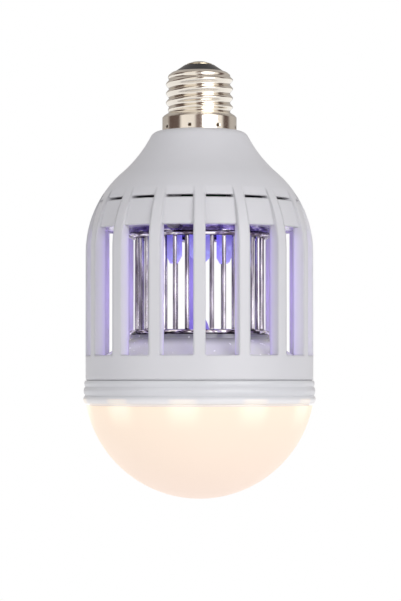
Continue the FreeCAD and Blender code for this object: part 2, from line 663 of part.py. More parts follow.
def screws(name, at, seat, turn):
    """Pan head screws from below, on a circle."""
    body = new_body(name)
    turned_screw = new_sketch(body, "screw_outline", "XZ_Plane")
    top = f"-({seat}) + screw_len"
    outline(turned_screw, [
        (at, f"-({seat} + screw_head_high)"),
        (f"{at} + screw_flat_r", f"-({seat} + screw_head_high)"),
        (f"{at} + screw_head_r", f"-({seat} + screw_rim)"),
        (f"{at} + screw_head_r", f"-({seat})"), (f"{at} + screw_r", f"-({seat})"),
        (f"{at} + screw_r", f"{top} - screw_r"), (at, top)])
    screw = body.newObject("PartDesign::Revolution", "screw")
    screw.Profile = turned_screw
    screw.ReferenceAxis = (turned_screw, ["Edge7"])
    screw.Angle = 360
    patterned(body, "all_screws", [screw], "screw_count")
    turn_body(body, turn)
    return body


def violet_board():
    body = new_body("violet_board")
    turned(body, "Revolution", "board",
           box_steps("column_r + column_side + fit", "violet_board_r", "-violet_low", "-carrier_low"))
    return body


def block(name, wide, deep, high, centre_x, front_y, low_z):
    """A plain block standing on the driver board's face."""
    thing = doc.addObject("Part::Box", name)
    thing.Label = name
    bind(thing, "Length", wide)
    bind(thing, "Width", deep)
    bind(thing, "Height", high)
    bind(thing, "Placement.Base.x", f"{centre_x} - ({wide}) / 2")
    bind(thing, "Placement.Base.y", front_y)
    bind(thing, "Placement.Base.z", low_z)
    return thing


def driver_board():
    return block("driver_board", "board_wide", "board_thick", "board_top + board_low", "0",
                 "-board_thick / 2", "-board_low")


def smoothing_capacitor():
    body = new_body("smoothing_capacitor")
    sketch = new_sketch(body, "can_outline", "XY_Plane", "-(neck_drop + cell_long)")
    circle(sketch, "0", "-(board_thick / 2 + cell_r)", "cell_r")
    can = pushed(body, "Pad", "can", sketch, "cell_long")
    rim = body.newObject("PartDesign::Fillet", "rim")
    rim.Base = (can, ["Face3"])
    bind(rim, "Radius", "cell_round")
    return body


def grid_capacitor():
    return block("grid_capacitor", "film_wide", "film_deep", "film_high", "0",
                 "board_thick / 2", "-(neck_drop + cell_long)")


def drive_choke():
    body = new_body("drive_choke")
    sketch = new_sketch(body, "choke_outline", "XZ_Plane")
    outline(sketch, [
        ("0", "0"), ("choke_r", "0"), ("choke_r", "choke_rim"), ("choke_waist_r", "choke_rim"),
        ("choke_waist_r", "choke_long - choke_rim"), ("choke_r", "choke_long - choke_rim"),
        ("choke_r", "choke_long"), ("0", "choke_long")])
    choke = body.newObject("PartDesign::Revolution", "choke")
    choke.Profile = sketch
    choke.ReferenceAxis = (sketch, ["V_Axis"])
    choke.Angle = 360
    bind(body, "Placement.Base.y", "board_thick / 2 + choke_r")
    bind(body, "Placement.Base.z", "-(neck_drop + choke_drop)")
    return body


def bridge_rectifier():
    return block("bridge_rectifier", "bridge_wide", "bridge_deep", "bridge_wide", "0",
                 "-(board_thick / 2 + bridge_deep)", "board_top - bridge_wide - edge_keep")


def driver_chip():
    return block("driver_chip", "chip_wide", "chip_deep", "chip_long", "-board_wide / 4",
                 "-(board_thick / 2 + chip_deep)", "-(board_low - clip_high)")


def wire(name, points):
    """Round wire along straight runs joined by bends."""
    spots = [V(*(size(c) for c in point)) for point in points]
    bend = size("lead_bend")
    edges = []
    at = spots[0]
    for before, corner, after in zip(spots, spots[1:], spots[2:]):
        coming = (corner - before).normalize()
        going = (after - corner).normalize()
        start = corner - coming * bend
        end = corner + going * bend
        middle = corner + (going - coming) * bend * (1 - math.sqrt(0.5))
        edges.append(Part.LineSegment(at, start).toShape())
        edges.append(Part.Arc(start, middle, end).toShape())
        at = end
    edges.append(Part.LineSegment(at, spots[-1]).toShape())
    first = (spots[1] - spots[0]).normalize()
    section = Part.Wire([Part.makeCircle(size("lead_r"), spots[0], first)])
    thing = doc.addObject("Part::Feature", name)
    thing.Label = name
    thing.Shape = Part.Wire(edges).makePipeShell([section], True, True)
    return thing


def leads():
    """Wires from cap to board, and from board to grid and white lights."""
    side = "board_wide / 2 - lead_edge"
    low = "-board_low"
    hop = "board_top + 2 * lead_bend"
    above = "-(carrier_drop - lead_r - lead_lift)"
    under = "-(floor_top + floor_wall + lead_bend + lead_r)"
    plus = "lead_side - column_side"
    minus = "-(lead_side + column_side)"
    up_from = f"{plus} + 2 * lead_r + up_lead_clear"
    up_end = ("up_lead_at * cos(up_lead_turn)", "up_lead_at * sin(up_lead_turn)")
    low_end = ("low_lead_at * cos(low_lead_turn)", "low_lead_at * sin(low_lead_turn)")
    back = "board_thick / 2 + lead_r"
    return [
        wire("live_lead", [("0", "0", "insulator_low"), ("0", "0", "board_top")]),
        wire("neutral_lead", [(side, "0", "board_top"), (side, "0", hop), ("shell_bore - fit", "0", hop)]),
        wire("upper_grid_lead", [(up_from, "0", low), (up_from, "0", above),
                                 (*up_end, above), (*up_end, "-collar_low")]),
        wire("lower_grid_lead", [("0", back, f"{low} + solder_high"), ("0", back, under),
                                 (*low_end, under), (*low_end, "-(floor_top - low_lead_up)")]),
        wire("column_lead_plus", [(plus, "0", low), (plus, "0", "-shelf_low")]),
        wire("column_lead_minus", [(minus, "0", low), (minus, "0", "-shelf_low")]),
    ]


def grid_resistors():
    """A row of resistors standing on the driver board's back."""
    body = new_body("grid_resistors")
    sketch = new_sketch(body, "resistor_outline", "XY_Plane", "-(board_low - clip_high)")
    count = int(size("resistor_count"))
    for number in range(count):
        circle(sketch, f"resistor_step * ({number} - ({count} - 1) / 2)",
               "board_thick / 2 + resistor_r", "resistor_r")
    pushed(body, "Pad", "resistors", sketch, "resistor_long")
    return body


def main():
    """Builds every piece, checks it and writes one file a piece."""
    free_up = "-(collar_low - socket_deep)"
    free_low = "-(floor_top + socket_deep)"
    pieces = [
        screw_shell(), cap_insulator(), centre_contact(), cage_housing(), upper_carrier(),
        electrode("upper_electrode", "ring_up_at", "ring_up_z", True, free_low, "0"),
        electrode("lower_electrode", "ring_low_at", "ring_low_z", False, free_up, "half_pitch"),
        centre_column(), floor_cone(), base_ring(), diffuser_dome(), light_board(),
        lights("white_lights", [("light_outer_at", "light_outer_count"),
                                ("light_inner_at", "light_inner_count")],
               "light_size", "light_high", "light_low", "light_turn"),
        violet_board(),
        lights("violet_lights", [("violet_at", "tabs")],
               "violet_size", "violet_high", "violet_low", "tab_turn"),
        screws("carrier_screws", "boss_at", "carrier_low", "half_pitch"),
        screws("board_screws", "screw_out", "light_low", "board_turn"),
        driver_board(), smoothing_capacitor(), grid_capacitor(), drive_choke(),
        bridge_rectifier(), driver_chip(), grid_resistors(),
    ]
    pieces += leads()
    doc.recompute()
    wrong = [thing.Name for thing in doc.Objects if {"Invalid", "Error"} & set(thing.State)]
    for piece in pieces:
        if piece.Shape.isNull() or not piece.Shape.isValid():
            wrong.append(piece.Label)
    if wrong:
        raise RuntimeError("Not built: " + ", ".join(wrong))
    os.makedirs("parts", exist_ok=True)
    for piece in pieces:
        piece.Shape.exportStep(f"parts/{piece.Label}.step")
        box = piece.Shape.BoundBox
        print(piece.Label, len(piece.Shape.Solids), round(piece.Shape.Volume, 1),
              [round(c, 2) for c in (box.XMin, box.YMin, box.ZMin, box.XMax, box.YMax, box.ZMax)])


main()
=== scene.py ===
import math

import bmesh
import bpy
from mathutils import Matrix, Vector


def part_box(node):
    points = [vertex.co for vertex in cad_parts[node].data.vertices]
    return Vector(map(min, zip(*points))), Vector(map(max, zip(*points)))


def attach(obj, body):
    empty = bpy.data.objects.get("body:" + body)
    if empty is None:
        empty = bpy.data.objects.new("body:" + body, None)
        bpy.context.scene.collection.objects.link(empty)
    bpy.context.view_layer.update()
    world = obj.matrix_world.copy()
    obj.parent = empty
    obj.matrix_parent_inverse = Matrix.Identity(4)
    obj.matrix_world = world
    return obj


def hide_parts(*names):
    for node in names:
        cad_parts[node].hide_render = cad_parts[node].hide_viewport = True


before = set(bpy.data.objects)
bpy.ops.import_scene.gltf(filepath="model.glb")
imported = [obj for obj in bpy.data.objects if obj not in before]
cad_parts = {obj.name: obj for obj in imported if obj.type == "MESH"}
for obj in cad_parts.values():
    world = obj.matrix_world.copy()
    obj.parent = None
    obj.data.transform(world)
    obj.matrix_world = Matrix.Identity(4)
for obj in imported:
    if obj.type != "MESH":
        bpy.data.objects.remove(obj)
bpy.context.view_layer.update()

# Insect killer light bulb: cap on top, open cage round a wire grid, lit dome below.
# Metres, in the model's frame: origin where the cap meets the housing, +Z up, -Y to the viewer.

MM = 0.001


def foot(node):
    """Lowest height of a piece of the model."""
    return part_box(node)[0][2]


def top(node):
    """Highest height of a piece of the model."""
    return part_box(node)[1][2]


def linear(red, green, blue):
    """A colour written as 0 to 255 screen values, for a shader."""
    def one(value):
        value /= 255
        return value / 12.92 if value <= 0.04045 else ((value + 0.055) / 1.055) ** 2.4
    return (one(red), one(green), one(blue), 1.0)


BLACK = (0, 0, 0, 1)
WHITE = (1, 1, 1, 1)

# The cage's ribs and the windows between them, where light is painted on the ribs' flanks with soft edges at
# the windows, and the ribs' rounding
RIB_OUTSIDE = 44.3 * MM
RIB_INSIDE = 39.6 * MM
WINDOW_TOP = -38.6 * MM
WINDOW_TOP_FADE = 6 * MM
WINDOW_FOOT = -87.6 * MM
WINDOW_FOOT_FADE = 0.2 * MM
RIB_ROUND = 1.5 * MM

# The ring round the dome's rim: its foot, the height up to which the dome's warm light is painted on it, and
# the ridges' rounding
RING_FOOT = foot("base_ring")
PAINTED_WARMTH_HIGH = 3.6 * MM
RIDGE_ROUND = 0.6 * MM

# The white lights on the outer circle, and the direction of the first one in degrees
OUTER_LIGHTS = 10
OUTER_LIGHT_TURN = 10

# The soft spots on the dome start this far below its rim and are full this far above it
SPOT_BELOW = 12 * MM
SPOT_ABOVE = 2 * MM

# The carrier: the underside of its plate, the inside of its metal collar, and their soft edges
PLATE_FOOT = top("violet_lights") + 1.2 * MM
PLATE_FADE = 0.1 * MM
COLLAR_INSIDE = 16 * MM
COLLAR_FADE = 0.2 * MM

# The cage's floor has shade painted on it, darker between these depths below its highest point
PAINTED_SHADE_FROM = 4.5 * MM
PAINTED_SHADE_TO = 0.4 * MM

# The grid's two ring wires, and how far up and down from them the dark and bright bars painted as shade and
# highlight reach
WIRE_HALF = 0.95 * MM
UPPER_RING = top("upper_electrode") - WIRE_HALF
LOWER_RING = foot("lower_electrode") + WIRE_HALF
PAINTED_BARS_FULL = 1.1 * MM
PAINTED_BARS_END = 1.5 * MM

# The cap's sheet metal, from its skirt over the shoulder and thread to the lip
SKIRT_RADIUS = 14.5 * MM
SKIRT_HIGH = 5.6 * MM
SKIRT_ROUND = 0.3 * MM
SHOULDER_HIGH = 2.0 * MM
ROOT_RADIUS = 12.0 * MM
CREST_RADIUS = 13.1 * MM
PITCH = 3.62 * MM
TURNS = 4
THREAD_FOOT = SKIRT_HIGH + SHOULDER_HIGH
THREAD_TOP = THREAD_FOOT + TURNS * PITCH
THREAD_FADE = 0.45 * PITCH
LIP_RADIUS = 9.8 * MM
LIP_RISE = 1.3 * MM
SHEET = 0.4 * MM

# Punch marks round the skirt: number, first one's direction in degrees, height, size, and the brown shade
# painted in them
STAKES = 8
STAKE_TURN = 30
STAKE_UP = 1.4 * MM
STAKE_RADIUS = 0.75 * MM
STAKE_DEPTH = 0.28 * MM
MARK_SHADE_FULL = 0.4 * MM
MARK_SHADE_END = 0.9 * MM

# How finely the cap's mesh is divided, round the axis and along its section
AROUND = 240
SKIRT_ROWS = 22
ROUND_ROWS = 6
SHOULDER_ROWS = 8
THREAD_ROWS = 120
LIP_ROWS = 6

# How much finer gloss and grain are than the drift of colour, and how strong they are
GLOSS_FINER = 4
GLOSS_DRIFT = 0.2
GRAIN_FINER = 12
GRAIN_STRENGTH = 0.4
EDGE_SAMPLES = 8

# The surround's light on the object
WORLD_LEVEL = 0.52
WORLD_COLOUR = (0.98, 0.985, 1.0, 1)

# What glossy surfaces see of the studio: direction in degrees from the viewer's side, and colour
BRIGHT = linear(255, 250, 244)
SIDE = linear(192, 187, 183)
BEHIND = linear(173, 169, 166)
GAP = linear(98, 82, 77)
MIDDLE = linear(128, 111, 106)
PANELS = [
    (-180, BEHIND), (-118, SIDE), (-104, GAP), (-66, GAP), (-57, BRIGHT), (-15, BRIGHT), (-9, MIDDLE),
    (14, MIDDLE), (26, BRIGHT), (72, BRIGHT), (82, GAP), (98, GAP), (112, SIDE), (180, BEHIND)]

# The studio's floor: width, depth below the dome, and colour under light.
# Where it is looked at it is this white up to NEAR_FLOOR from its middle, and all white from FAR_FLOOR.
FLOOR_WIDE = 60
FLOOR_BELOW = 0.12
FLOOR_COLOUR = (0.84, 0.84, 0.85, 1)
FLOOR_WHITE = 0.8
NEAR_FLOOR = 0.1
FAR_FLOOR = 0.6

# Studio lamps: name, place, height they aim at, width, power, and whether gloss shows the lamp
LAMPS = [
    ("key", (0.55, -0.87, 0.05), -0.06, 0.9, 4.7, True),
    ("fill", (-0.8, -0.5, -0.2), -0.08, 0.7, 2.1, False),
    ("back_left", (-0.3, 1.0, 0.1), -0.06, 0.7, 2.4, False),
    ("back_right", (0.4, 0.95, 0.0), -0.06, 0.7, 2.2, False)]

# Small violet lamps in a circle inside the grid, below the tabs
GLOW_LAMPS = 8
GLOW_START = 0.25
GLOW_RADIUS = 16 * MM
GLOW_HEIGHT = foot("upper_carrier") - 10 * MM
GLOW_POWER = 0.0065
GLOW_SIZE = 6 * MM
GLOW_COLOUR = (0.5, 0.34, 1.0)

# The lens: far away, about level with the ring's upper edge and aimed higher.
# FOCAL_PIXELS is its focal length in the picture's pixels, and SENSOR the picture's height in it, mm.
VIEW_DISTANCE = 0.935
EYE_HEIGHT = -0.0962
AIM_HEIGHT = -0.066
AXIS_SHIFT = 0.0004
FOCAL_PIXELS = 2400
PICTURE_HIGH = 601
SENSOR = 36.0
NEAREST_SEEN = 0.01

# Where a Mix node has its factor and its two colours, and where its mixed colour comes out
MIX_INPUTS = (0, 6, 7)
MIX_OUTPUT = 2


class Nodes:
    """The nodes of a material or world. A value is an output socket, a number or a colour."""

    def __init__(self, owner):
        owner.use_nodes = True
        self.tree = owner.node_tree
        self.tree.nodes.clear()

    def add(self, kind, **settings):
        node = self.tree.nodes.new(kind)
        for key, value in settings.items():
            setattr(node, key, value)
        return node

    def feed(self, socket, value):
        """Give an input socket a value."""
        if isinstance(value, bpy.types.NodeSocket):
            self.tree.links.new(value, socket)
        else:
            socket.default_value = value

    def made(self, kind, **inputs):
        """The first output of a new node whose inputs are given by name."""
        node = self.add(kind)
        for key, value in inputs.items():
            self.feed(node.inputs[key], value)
        return node.outputs[0]

    def math(self, kind, *values):
        node = self.add("ShaderNodeMath", operation=kind)
        for socket, value in zip(node.inputs, values):
            self.feed(socket, value)
        return node.outputs[0]

    def product(self, first, *others):
        for other in others:
            first = self.math("MULTIPLY", first, other)
        return first

    def rest(self, value):
        """1 less the value."""
        return self.math("SUBTRACT", 1.0, value)

    def climb(self, value, low, high, to_low=0.0, to_high=1.0, kind="LINEAR"):
        """to_low where the value is low, to_high where it is high, and steadily between them."""
        node = self.add("ShaderNodeMapRange", interpolation_type=kind)
        node.inputs["From Min"].default_value = low
        node.inputs["From Max"].default_value = high
        node.inputs["To Min"].default_value = to_low
        node.inputs["To Max"].default_value = to_high
        self.feed(node.inputs["Value"], value)
        return node.outputs["Result"]

    def blend(self, value, low, high):
        """0 below low and 1 above high, softly between."""
        return self.climb(value, low, high, kind="SMOOTHSTEP")

    def ramp(self, value, stops):
        """Colours along a value: stops holds (place, colour)."""
        node = self.add("ShaderNodeValToRGB")
        elements = node.color_ramp.elements
        while len(elements) < len(stops):
            elements.new(0.5)
        for element, (place, colour) in zip(elements, stops):
            element.position = place
            element.color = colour
        self.feed(node.inputs["Fac"], value)
        return node.outputs["Color"]

    def mix(self, factor, first, second):
        """A colour between two."""
        node = self.add("ShaderNodeMix", data_type="RGBA")
        for number, value in zip(MIX_INPUTS, (factor, first, second)):
            self.feed(node.inputs[number], value)
        return node.outputs[MIX_OUTPUT]

    def mix_shaders(self, factor, first, second):
        node = self.add("ShaderNodeMixShader")
        for socket, value in zip(node.inputs, (factor, first, second)):
            self.feed(socket, value)
        return node.outputs[0]

    def axes(self, place):
        """The x, y and z of a place."""
        node = self.add("ShaderNodeSeparateXYZ")
        self.feed(node.inputs[0], place)
        return node.outputs

    def seen_by(self, *rays):
        """1 for the named kinds of ray, and 0 for others."""
        path = self.add("ShaderNodeLightPath")
        level = path.outputs[rays[0]]
        for ray in rays[1:]:
            level = self.math("MAXIMUM", level, path.outputs[ray])
        return level


class Finish(Nodes):
    """A surface whose colour, gloss and fine grain drift over the object's own place."""

    def __init__(self, name, colour, rough, metal=0.0, amount=0.04, scale=140, depth=0.03 * MM,
                 stretch=(1, 1, 1), rounding=0.0):
        """A colour of None is left to be set afterwards."""
        self.material = bpy.data.materials.new(name)
        super().__init__(self.material)
        output = self.add("ShaderNodeOutputMaterial")
        self.main = self.add("ShaderNodeBsdfPrincipled")
        self.feed(output.inputs["Surface"], self.main.outputs["BSDF"])
        self.place = self.add("ShaderNodeTexCoord").outputs["Object"]
        self.x, self.y, self.z = self.axes(self.place)
        if colour:
            self.colour = self.mottle(colour, amount, scale, stretch)
            self.set(Base_Color=self.colour)
        gloss = self.noise(scale * GLOSS_FINER, stretch=stretch)
        self.set(Roughness=self.climb(gloss, 0, 1, rough * (1 - GLOSS_DRIFT), rough * (1 + GLOSS_DRIFT)))
        self.set(Normal=self.grain(scale * GRAIN_FINER, depth, stretch, rounding), Metallic=metal)

    def set(self, **values):
        """Give the surface's own inputs their values, by name with _ for a space."""
        for key, value in values.items():
            self.feed(self.main.inputs[key.replace("_", " ")], value)

    def noise(self, scale, detail=3.0, stretch=(1, 1, 1)):
        """Noise over the object's own place, stretched along an axis where asked."""
        mapped = self.made("ShaderNodeMapping", Vector=self.place, Scale=stretch)
        return self.made("ShaderNodeTexNoise", Vector=mapped, Scale=scale, Detail=detail)

    def mottle(self, colour, amount, scale, stretch):
        """A colour that drifts a little lighter and darker."""
        dark = tuple(c * (1 - amount) for c in colour[:3]) + (1,)
        light = tuple(min(c * (1 + amount), 1) for c in colour[:3]) + (1,)
        return self.ramp(self.noise(scale, stretch=stretch), [(0.3, dark), (0.7, light)])

    def grain(self, scale, depth, stretch, rounding):
        """Fine grain, over edges that look rounded by the given radius."""
        bump = self.add("ShaderNodeBump")
        if rounding:
            bevel = self.add("ShaderNodeBevel", samples=EDGE_SAMPLES)
            bevel.inputs["Radius"].default_value = rounding
            self.feed(bump.inputs["Normal"], bevel.outputs["Normal"])
        bump.inputs["Strength"].default_value = GRAIN_STRENGTH
        bump.inputs["Distance"].default_value = depth
        self.feed(bump.inputs["Height"], self.noise(scale, detail=2.0, stretch=stretch))
        return bump.outputs["Normal"]

    def reach(self):
        """Distance from the bulb's axis."""
        square = self.math("ADD", self.product(self.x, self.x), self.product(self.y, self.y))
        return self.math("SQRT", square)

    def away(self, height):
        """Distance above or below a height."""
        return self.math("ABSOLUTE", self.math("SUBTRACT", self.z, height))

    def wave(self, count, first):
        """1 towards each of count directions round the axis, the first in degrees, and -1 between."""
        turn = self.math("SUBTRACT", self.math("ARCTAN2", self.y, self.x), math.radians(first))
        return self.math("COSINE", self.product(turn, float(count)))


def plain(name, colour, rough, **more):
    """Moulded, coated or metal surface with nothing else on it."""
    return Finish(name, colour, rough, **more).material


def lit_chip(name, colour, glow, strength):
    """A light's own small face."""
    finish = Finish(name, colour, 0.45, amount=0.05, scale=300)
    finish.set(Emission_Color=glow, Emission_Strength=strength)
    return finish.material


def white_moulding():
    """Satin moulding, with light painted as emission on the ribs' flanks beside the windows, lilac at their
    inner edge and fading outwards.
    """
    finish = Finish("white_moulding", linear(223, 222, 226), 0.42, amount=0.012, scale=45,
                    rounding=RIB_ROUND)
    flank = finish.blend(finish.reach(), RIB_INSIDE, RIB_OUTSIDE)
    # Painted light: a lilac glow on the ribs' flanks, strongest at their inner edge and none at the outer
    # face
    glow = finish.ramp(flank, [
        (0.0, BLACK), (0.02, linear(92, 78, 136)), (0.3, linear(84, 78, 104)), (0.7, linear(70, 68, 74)),
        (1.0, BLACK)])
    above = finish.blend(finish.z, WINDOW_FOOT - WINDOW_FOOT_FADE, WINDOW_FOOT + WINDOW_FOOT_FADE)
    below = finish.rest(finish.blend(finish.z, WINDOW_TOP - WINDOW_TOP_FADE, WINDOW_TOP))
    lit = finish.mix(finish.product(above, below), BLACK, glow)
    finish.set(Emission_Color=lit, Emission_Strength=1.0)
    finish.set(Coat_Weight=0.1, Coat_Roughness=0.3, Specular_IOR_Level=0.4)
    return finish.material


def ring_with_painted_warmth():
    """The same moulding, with the dome's warm light painted as emission along its lowest ridge, most beside
    each light.
    """
    finish = Finish("ring_moulding", linear(224, 224, 228), 0.38, amount=0.012, scale=45,
                    rounding=RIDGE_ROUND)
    level = finish.climb(finish.z, RING_FOOT + PAINTED_WARMTH_HIGH, RING_FOOT)
    # Painted light: the dome's warm glow on the ring, by height above its foot
    glow = finish.ramp(level, [
        (0.0, BLACK), (0.3, linear(92, 87, 82)), (0.6, linear(122, 115, 108)),
        (0.85, linear(112, 105, 100)), (1.0, linear(84, 78, 76))])
    # Painted light: warmer spots on the lowest ridge beside each of the dome's lights
    near = finish.blend(finish.wave(OUTER_LIGHTS, OUTER_LIGHT_TURN), 0.1, 1.0)
    on_ridge = finish.product(finish.blend(level, 0.1, 0.4), finish.rest(finish.blend(level, 0.6, 0.95)))
    warm = finish.mix(finish.product(near, on_ridge), glow, linear(154, 138, 112))
    finish.set(Emission_Color=warm, Emission_Strength=1.0)
    finish.set(Coat_Weight=0.22, Coat_Roughness=0.16)
    return finish.material


def opal_dome():
    """Opal dome lit warm from inside, with a soft spot below each light near its rim."""
    finish = Finish("opal_dome", linear(176, 164, 154), 0.5, amount=0.01, scale=30)
    level = finish.climb(finish.z, foot("diffuser_dome"), RING_FOOT)
    glow = finish.ramp(level, [
        (0.0, linear(212, 192, 180)), (0.35, linear(214, 195, 180)), (0.75, linear(216, 198, 180)),
        (1.0, linear(220, 203, 182))])
    near = finish.blend(finish.wave(OUTER_LIGHTS, OUTER_LIGHT_TURN), -1.0, 1.0)
    high = finish.blend(finish.z, RING_FOOT - SPOT_BELOW, RING_FOOT + SPOT_ABOVE)
    spot = finish.product(finish.math("POWER", near, 2.5), finish.math("POWER", high, 1.5))
    lit = finish.mix(spot, glow, linear(236, 228, 208))
    finish.set(Emission_Color=lit, Emission_Strength=0.93, Specular_IOR_Level=0.2)
    return finish.material


def lit_carrier():
    """White plate with a metal collar whose dark and violet streaks and white glints are painted
    reflections, and hanging blue-violet tabs that carry painted violet light with brighter painted flecks.
    """
    finish = Finish("lit_carrier", linear(206, 204, 214), 0.16, amount=0.015, scale=60, depth=0.2 * MM)
    below = finish.rest(finish.blend(finish.z, PLATE_FOOT - PLATE_FADE, PLATE_FOOT))
    outer = finish.blend(finish.reach(), COLLAR_INSIDE, COLLAR_INSIDE + COLLAR_FADE)
    inner = finish.rest(outer)
    collar = finish.product(below, outer)
    tabs = finish.product(below, inner)
    blue = finish.mix(tabs, finish.colour, linear(124, 118, 180))
    # Painted reflections: dark and violet streaks and white glints on the collar's metal
    metal = finish.ramp(finish.noise(420, stretch=(0.5, 0.5, 1.6)), [
        (0.34, linear(60, 50, 84)), (0.47, linear(108, 96, 142)), (0.58, linear(122, 108, 174)),
        (0.66, linear(240, 236, 248))])
    finish.set(Base_Color=finish.mix(collar, blue, metal), Metallic=collar)
    level = finish.climb(finish.z, foot("upper_carrier"), PLATE_FOOT)
    # Painted light: violet glow on the tabs, brightest at their lower ends and none at the plate
    glow = finish.ramp(level, [
        (0.0, linear(168, 163, 232)), (0.45, linear(144, 135, 210)), (0.88, linear(84, 72, 192)),
        (1.0, BLACK)])
    # Painted light: small brighter flecks on the tabs
    painted_flecks = finish.blend(finish.noise(560, detail=2.0, stretch=(1, 1, 0.7)), 0.52, 0.68)
    lit = finish.mix(finish.product(painted_flecks, 0.75, below), glow, linear(172, 186, 250))
    finish.set(Emission_Color=lit, Emission_Strength=finish.product(inner, 0.62))
    return finish.material


def lit_column():
    """Milky tube with the violet light from the top painted on it as emission, bluer at its foot and top."""
    finish = Finish("lit_column", linear(112, 104, 150), 0.3, amount=0.02, scale=80)
    level = finish.climb(finish.z, foot("centre_column"), top("centre_column"))
    # Painted light: violet glow on the tube, bluer at its foot and top
    glow = finish.ramp(level, [
        (0.0, linear(106, 96, 196)), (0.14, linear(112, 102, 184)), (0.3, linear(124, 118, 150)),
        (0.65, linear(124, 118, 150)), (1.0, linear(74, 64, 160))])
    finish.set(Emission_Color=glow, Emission_Strength=0.55)
    return finish.material


def glossy_floor():
    """Smooth pale floor of the cage, with shade painted darker towards its highest point, and small painted
    glints.
    """
    finish = Finish("floor_moulding", linear(247, 248, 242), 0.16, amount=0.02, scale=60, depth=0.01 * MM)
    peak = top("floor_cone")
    # Painted shade: darker towards the floor's highest point
    step = finish.blend(finish.z, peak - PAINTED_SHADE_FROM, peak - PAINTED_SHADE_TO)
    # Painted glints: small bright spots given as emission
    glints = finish.ramp(finish.noise(620, detail=1.0), [(0.71, BLACK), (0.76, linear(170, 168, 176))])
    finish.set(Base_Color=finish.mix(step, finish.colour, linear(128, 126, 140)))
    finish.set(Emission_Color=glints, Emission_Strength=1.0)
    finish.set(Coat_Weight=0.4, Coat_Roughness=0.06)
    return finish.material


def nickel(name):
    """Plated sheet, with brown shade painted in the punch marks."""
    finish = Finish(name, linear(238, 231, 220), 0.15, metal=1.0, amount=0.05, scale=90,
                    depth=0.01 * MM, stretch=(1, 1, 0.15))
    # Painted shade: brown in the dent of each punch mark
    near = finish.blend(finish.wave(STAKES, STAKE_TURN), 0.9, 0.99)
    level = finish.rest(finish.blend(finish.away(STAKE_UP), MARK_SHADE_FULL, MARK_SHADE_END))
    painted_mark_shade = finish.mix(finish.product(near, level), finish.colour, linear(74, 56, 38))
    finish.set(Base_Color=painted_mark_shade)
    return finish.material


def drawn_wire(name, ring_height, painted_dark_bar):
    """Bright wire with long darker streaks, and short dark and bright bars painted round its ring as shade
    and highlight.
    """
    finish = Finish(name, None, 0.15, metal=1.0, scale=200, depth=0.01 * MM, stretch=(1, 1, 0.08))
    rods = finish.ramp(finish.noise(520, stretch=(1, 1, 0.12)), [
        (0.36, linear(132, 126, 136)), (0.5, linear(190, 186, 192)), (0.62, linear(242, 240, 242))])
    # Painted shade and highlight: short dark and bright bars round the ring wire
    ring = finish.ramp(finish.noise(700, detail=2.0, stretch=(0.3, 0.3, 1.6)), [
        (0.42, painted_dark_bar), (0.5, linear(142, 128, 146)), (0.58, linear(255, 252, 250))])
    at_ring = finish.rest(finish.blend(finish.away(ring_height), PAINTED_BARS_FULL, PAINTED_BARS_END))
    finish.set(Base_Color=finish.mix(at_ring, rods, ring))
    return finish.material


def dress_model():
    """A finish for every piece that comes from the model."""
    finishes = [
        (white_moulding(), ["cage_housing"]),
        (ring_with_painted_warmth(), ["base_ring"]),
        (opal_dome(), ["diffuser_dome"]),
        (glossy_floor(), ["floor_cone"]),
        (lit_carrier(), ["upper_carrier"]),
        (lit_column(), ["centre_column"]),
        (nickel("nickel"), ["screw_shell"]),
        # The last colour given is the painted shade of the dark bars round each ring wire
        (drawn_wire("grid_wire", UPPER_RING, linear(96, 84, 94)), ["upper_electrode"]),
        (drawn_wire("grid_wire_low", LOWER_RING, linear(30, 26, 34)), ["lower_electrode"]),
        (plain("black_glass", linear(30, 30, 33), 0.18, amount=0.1), ["cap_insulator"]),
        (plain("contact_metal", linear(206, 196, 172), 0.3, metal=1.0), ["centre_contact"]),
        (plain("coated_board", linear(226, 226, 222), 0.4), ["light_board", "violet_board"]),
        (lit_chip("warm_phosphor", linear(240, 214, 130), linear(255, 240, 214), 2.0), ["white_lights"]),
        (lit_chip("violet_chip", linear(150, 130, 240), linear(120, 96, 255), 2.5), ["violet_lights"]),
        (plain("screw_steel", linear(146, 142, 146), 0.3, metal=1.0, amount=0.08),
         ["carrier_screws", "board_screws"]),
        (plain("green_laminate", linear(52, 110, 72), 0.4, amount=0.1), ["driver_board"]),
        (plain("dark_sleeve", linear(40, 44, 66), 0.3), ["smoothing_capacitor"]),
        (plain("dipped_film", linear(150, 62, 48), 0.35), ["grid_capacitor"]),
        (plain("ferrite", linear(70, 62, 58), 0.55, amount=0.1), ["drive_choke"]),
        (plain("black_package", linear(34, 34, 36), 0.5, amount=0.12), ["bridge_rectifier", "driver_chip"]),
        (plain("resistor_coat", linear(206, 186, 150), 0.4), ["grid_resistors"]),
        (plain("red_wire", linear(168, 38, 34), 0.42), ["live_lead", "upper_grid_lead", "column_lead_plus"]),
        (plain("black_wire", linear(38, 38, 40), 0.42),
         ["neutral_lead", "lower_grid_lead", "column_lead_minus"])]
    for material, nodes in finishes:
        for node in nodes:
            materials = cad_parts[node].data.materials
            materials.clear()
            materials.append(material)


